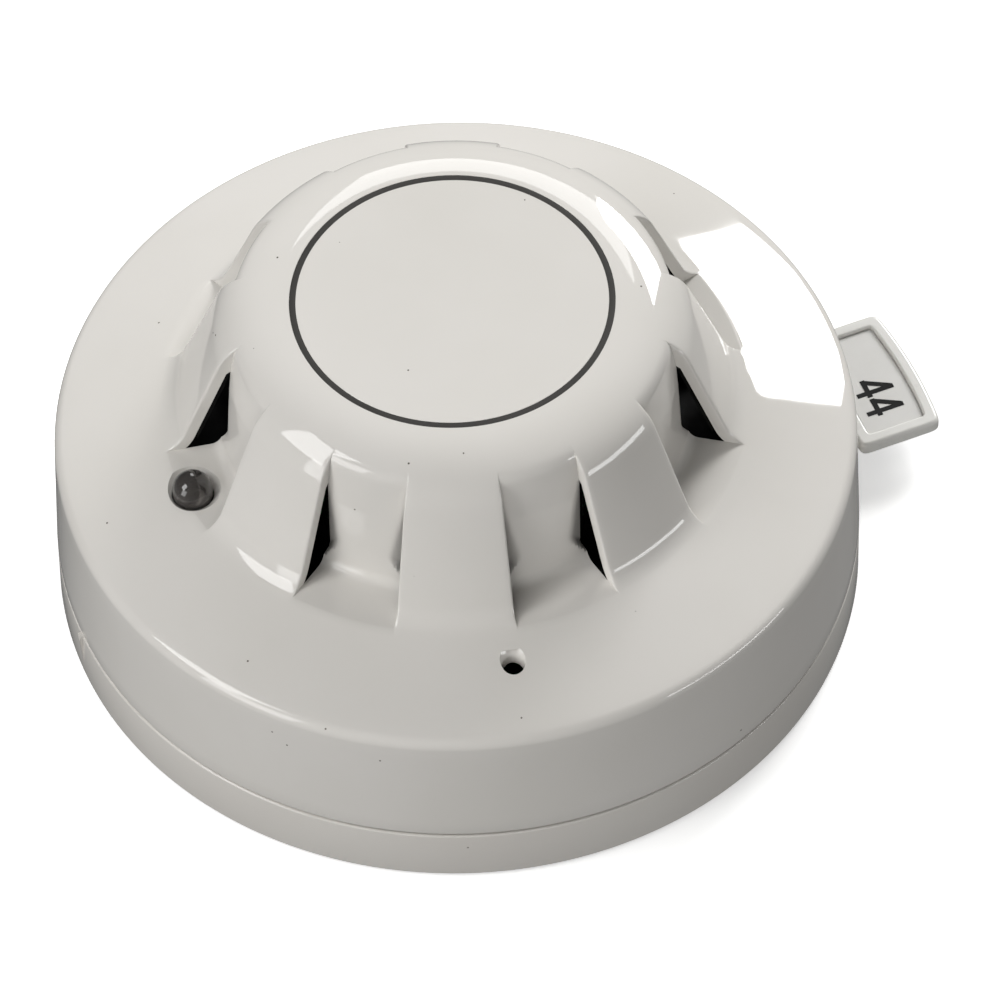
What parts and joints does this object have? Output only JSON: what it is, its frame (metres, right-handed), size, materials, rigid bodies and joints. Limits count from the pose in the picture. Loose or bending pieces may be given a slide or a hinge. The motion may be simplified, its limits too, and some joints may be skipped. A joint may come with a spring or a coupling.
{
  "type": "heat detector",
  "caption": "Round ceiling heat detector: shallow mounting base, plug-in head with a raised dome and side air ports, status indicator and slide-in address card.",
  "frame": {"origin": "centre of the base's flat back face, which lies against the ceiling", "axes": "+Z away from the ceiling through the dome, +X along the address card out of the base"},
  "size_m": [0.1131, 0.1, 0.05],
  "materials": {
    "base_plastic": "moulded, warm off-white gloss",
    "cover_plastic": "moulded, warm off-white gloss",
    "chassis_plastic": "moulded satin",
    "card_plastic": "moulded satin white",
    "label_stock": "printed paper label",
    "ring_ink": "dark brown-grey paint in a groove",
    "black_plastic": "moulded matt black",
    "led_lens": "smoked clear epoxy lens",
    "board_laminate": "solder mask on glass epoxy",
    "button_plastic": "moulded acetal",
    "black_rubber": "moulded silicone",
    "capacitor_sleeve": "shrunk vinyl sleeve",
    "thermistor_epoxy": "dipped epoxy bead",
    "steel": "stainless steel",
    "zinc_plate": "zinc-plated steel",
    "spring_bronze": "phosphor bronze strip"
  },
  "bodies": {
    "base": {"base_moulding": "base_plastic", "contact_spring_1": "spring_bronze", "contact_spring_2": "spring_bronze", "contact_spring_3": "spring_bronze", "contact_spring_4": "spring_bronze", "contact_spring_5": "spring_bronze", "terminal_clamp_1": "zinc_plate", "terminal_clamp_2": "zinc_plate", "terminal_clamp_3": "zinc_plate", "terminal_clamp_4": "zinc_plate", "terminal_clamp_5": "zinc_plate", "terminal_screw_1": "steel", "terminal_screw_2": "steel", "terminal_screw_3": "steel", "terminal_screw_4": "steel", "terminal_screw_5": "steel"},
    "head": {"outer_cover": "cover_plastic", "ring_inlay": "ring_ink", "head_chassis": "chassis_plastic", "contact_plate_1": "steel", "contact_plate_2": "steel", "contact_plate_3": "steel", "contact_plate_4": "steel", "contact_plate_5": "steel", "button_pad": "black_rubber", "circuit_board": "board_laminate", "sensing_shroud": "black_plastic", "thermistor": "thermistor_epoxy", "status_led": "led_lens", "led_spacer": "black_plastic", "cover_screw_1": "zinc_plate", "cover_screw_2": "zinc_plate", "cover_screw_3": "zinc_plate", "board_screw_1": "zinc_plate", "board_screw_2": "zinc_plate", "board_screw_3": "zinc_plate", "processor_chip": "black_plastic", "driver_chip": "black_plastic", "capacitor_1": "capacitor_sleeve", "capacitor_2": "capacitor_sleeve"},
    "card": {"address_card": "card_plastic", "number_label": "label_stock"},
    "button_1": {"address_button_1": "button_plastic"},
    "button_2": {"address_button_2": "button_plastic"},
    "button_3": {"address_button_3": "button_plastic"},
    "button_4": {"address_button_4": "button_plastic"},
    "button_5": {"address_button_5": "button_plastic"},
    "button_6": {"address_button_6": "button_plastic"},
    "button_7": {"address_button_7": "button_plastic"},
    "locking_screw": {"locking_screw": "steel"}
  },
  "joints": [
    {"name": "head_twist", "type": "hinge", "parent": "base", "child": "head", "pos_m": [0, 0, 0.008], "axis": [0, 0, 1], "range_deg": [0, 15]},
    {"name": "card_slide", "type": "slide", "parent": "base", "child": "card", "axis": [1, 0, 0], "range_m": [0, 0.025]},
    {"name": "button_1_press", "type": "slide", "parent": "head", "child": "button_1", "axis": [0, 0, 1], "range_m": [0, 0.001], "stiffness_N_per_m": 60, "springref_m": -0.001},
    {"name": "button_2_press", "type": "slide", "parent": "head", "child": "button_2", "axis": [0, 0, 1], "range_m": [0, 0.001], "stiffness_N_per_m": 60, "springref_m": -0.001},
    {"name": "button_3_press", "type": "slide", "parent": "head", "child": "button_3", "axis": [0, 0, 1], "range_m": [0, 0.001], "stiffness_N_per_m": 60, "springref_m": -0.001},
    {"name": "button_4_press", "type": "slide", "parent": "head", "child": "button_4", "axis": [0, 0, 1], "range_m": [0, 0.001], "stiffness_N_per_m": 60, "springref_m": -0.001},
    {"name": "button_5_press", "type": "slide", "parent": "head", "child": "button_5", "axis": [0, 0, 1], "range_m": [0, 0.001], "stiffness_N_per_m": 60, "springref_m": -0.001},
    {"name": "button_6_press", "type": "slide", "parent": "head", "child": "button_6", "axis": [0, 0, 1], "range_m": [0, 0.001], "stiffness_N_per_m": 60, "springref_m": -0.001},
    {"name": "button_7_press", "type": "slide", "parent": "head", "child": "button_7", "axis": [0, 0, 1], "range_m": [0, 0.001], "stiffness_N_per_m": 60, "springref_m": -0.001},
    {"name": "locking_screw_turn", "type": "hinge", "parent": "head", "child": "locking_screw", "pos_m": [-0.00879, -0.03933, 0.0128], "axis": [0, 0, 1], "range_deg": [-720, 0]}
  ]
}
